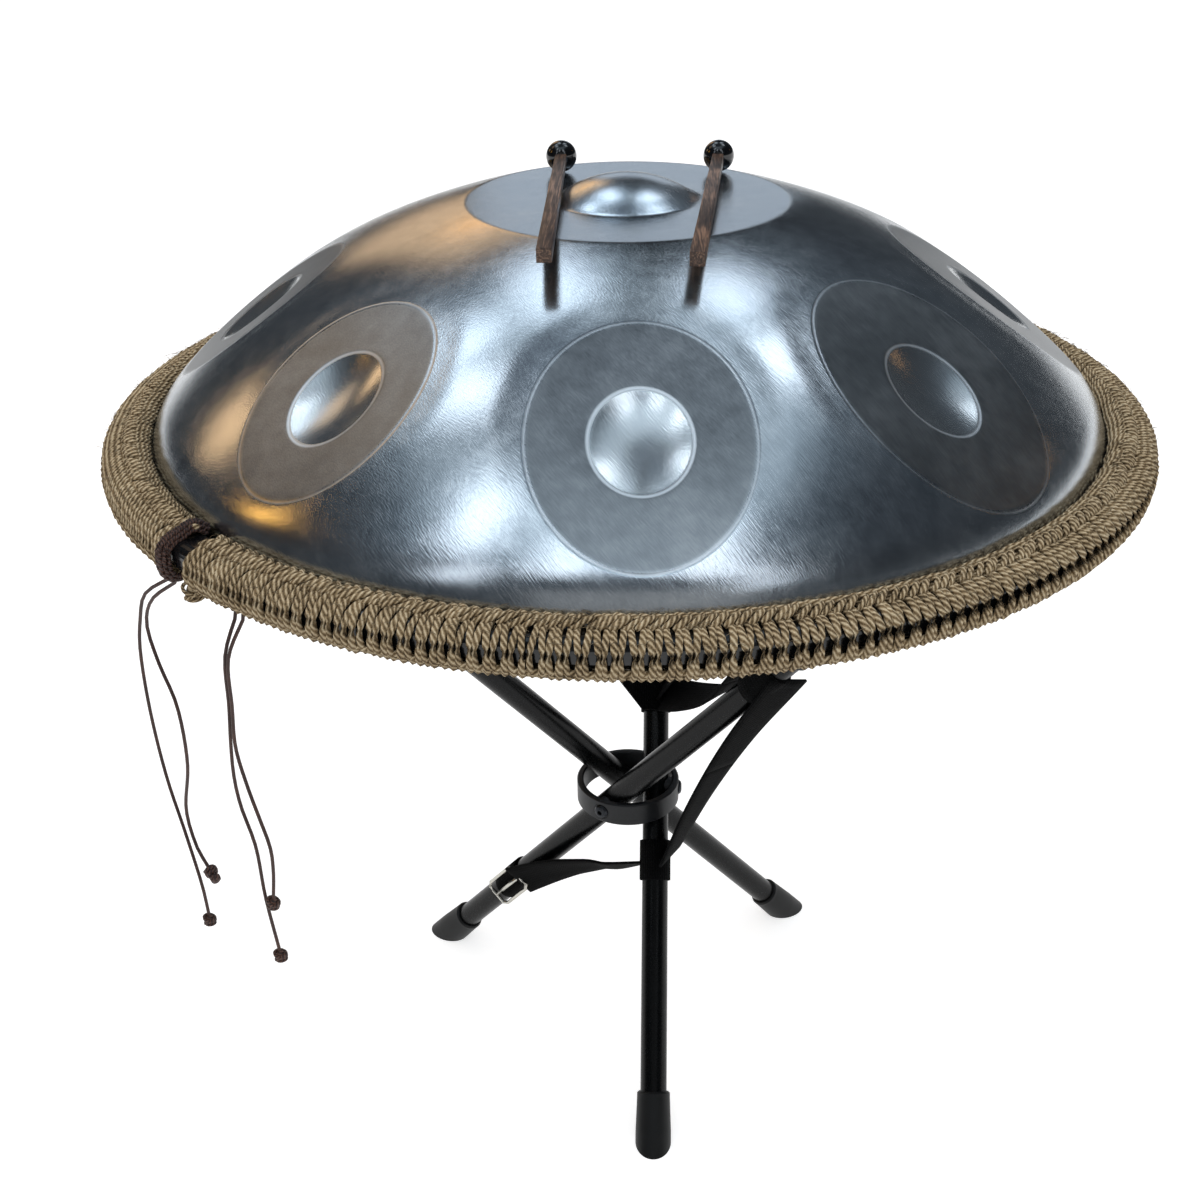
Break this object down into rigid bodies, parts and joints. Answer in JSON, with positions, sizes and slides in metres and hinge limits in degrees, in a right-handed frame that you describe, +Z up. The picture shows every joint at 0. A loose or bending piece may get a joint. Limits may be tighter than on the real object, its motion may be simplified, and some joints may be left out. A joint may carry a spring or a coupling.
{
  "type": "handpan",
  "caption": "Steel handpan with dimpled tone fields and a rope-covered rim, on a folding three-leg stand, with a pair of mallets on its crown.",
  "frame": {"origin": "on the floor, under the middle of the stand's hub and the pan's own axis", "axes": "+Z up along the pan's axis; -Y towards the front tone field and leg 1's foot, +X to the player's right as seen from the front"},
  "size_m": [0.5671, 0.5672, 0.5525],
  "materials": {
    "shell": "brushed stainless steel, bare metal",
    "adhesive": "cured epoxy",
    "rubber": "glossy black rubber channel",
    "rope": "twisted jute cord, hitched",
    "waxed_cord": "waxed dark red-brown cord",
    "hub": "black powder coat, satin",
    "tube": "black anodised tube, semi-gloss",
    "cap_rubber": "moulded black rubber, matt",
    "screw": "black oxide steel",
    "plug": "turned brass",
    "nylon": "black nylon",
    "webbing": "woven black polypropylene webbing",
    "buckle": "nickel-plated steel wire",
    "mallet_wood": "dark stained wood",
    "ball_rubber": "glossy black rubber"
  },
  "bodies": {
    "hub": {"hub": "hub"},
    "leg_1": {"leg_tube_1": "tube", "leg_foot_1": "cap_rubber", "leg_tip_1": "cap_rubber", "pivot_screw_1": "screw", "pivot_plug_1": "plug", "pivot_washer_1": "nylon", "strap_loop_front": "webbing", "strap_loop_back": "webbing", "strap_tail": "webbing"},
    "leg_2": {"leg_tube_2": "tube", "leg_foot_2": "cap_rubber", "leg_tip_2": "cap_rubber", "pivot_screw_2": "screw", "pivot_plug_2": "plug", "pivot_washer_2": "nylon"},
    "leg_3": {"leg_tube_3": "tube", "leg_foot_3": "cap_rubber", "leg_tip_3": "cap_rubber", "pivot_screw_3": "screw", "pivot_plug_3": "plug", "pivot_washer_3": "nylon", "strap_loop_low": "webbing", "strap_loop_high": "webbing", "strap_buckle": "buckle", "strap_run_low": "webbing", "strap_run_diagonal": "webbing", "strap_run_upper": "webbing", "strap_run_return": "webbing"},
    "pan": {"top_shell": "shell", "bottom_shell": "shell", "rim_bond": "adhesive", "rim_trim": "rubber", "rope_wrap": "rope", "rope_chain": "rope", "rope_whipping": "waxed_cord", "rope_knot": "rope", "tie_cord_a1": "waxed_cord", "tie_cord_a2": "waxed_cord", "tie_cord_b1": "waxed_cord", "tie_cord_b2": "waxed_cord", "tie_beads": "waxed_cord"},
    "mallet_left": {"mallet_handle_left": "mallet_wood", "mallet_ball_left": "ball_rubber"},
    "mallet_right": {"mallet_handle_right": "mallet_wood", "mallet_ball_right": "ball_rubber"}
  },
  "joints": [
    {"name": "pan_lift", "type": "slide", "parent": "hub", "child": "pan", "axis": [0, 0, 1], "range_m": [0, 0.2]},
    {"name": "leg_1_fold", "type": "hinge", "parent": "hub", "child": "leg_1", "pos_m": [0.0175, 0, 0.16333], "axis": [1, 0, 0], "range_deg": [0, 40.25], "deforming": ["strap_tail"]},
    {"name": "leg_2_fold", "type": "hinge", "parent": "hub", "child": "leg_2", "pos_m": [-0.00875, 0.01516, 0.16333], "axis": [-0.5, 0.866, 0], "range_deg": [0, 40.25]},
    {"name": "leg_3_fold", "type": "hinge", "parent": "hub", "child": "leg_3", "pos_m": [-0.00875, -0.01516, 0.16333], "axis": [-0.5, -0.866, 0], "range_deg": [0, 40.25], "deforming": ["strap_run_low", "strap_run_diagonal", "strap_run_upper", "strap_run_return"]},
    {"name": "mallet_left_lift", "type": "slide", "parent": "pan", "child": "mallet_left", "axis": [0, 0, 1], "range_m": [0, 0.15]},
    {"name": "mallet_right_lift", "type": "slide", "parent": "pan", "child": "mallet_right", "axis": [0, 0, 1], "range_m": [0, 0.15]}
  ],
  "couplings": [
    {"joint": "leg_1_fold", "follows": "pan_lift", "rad_per_m": 3.51},
    {"joint": "leg_2_fold", "follows": "pan_lift", "rad_per_m": 3.51},
    {"joint": "leg_3_fold", "follows": "pan_lift", "rad_per_m": 3.51}
  ]
}
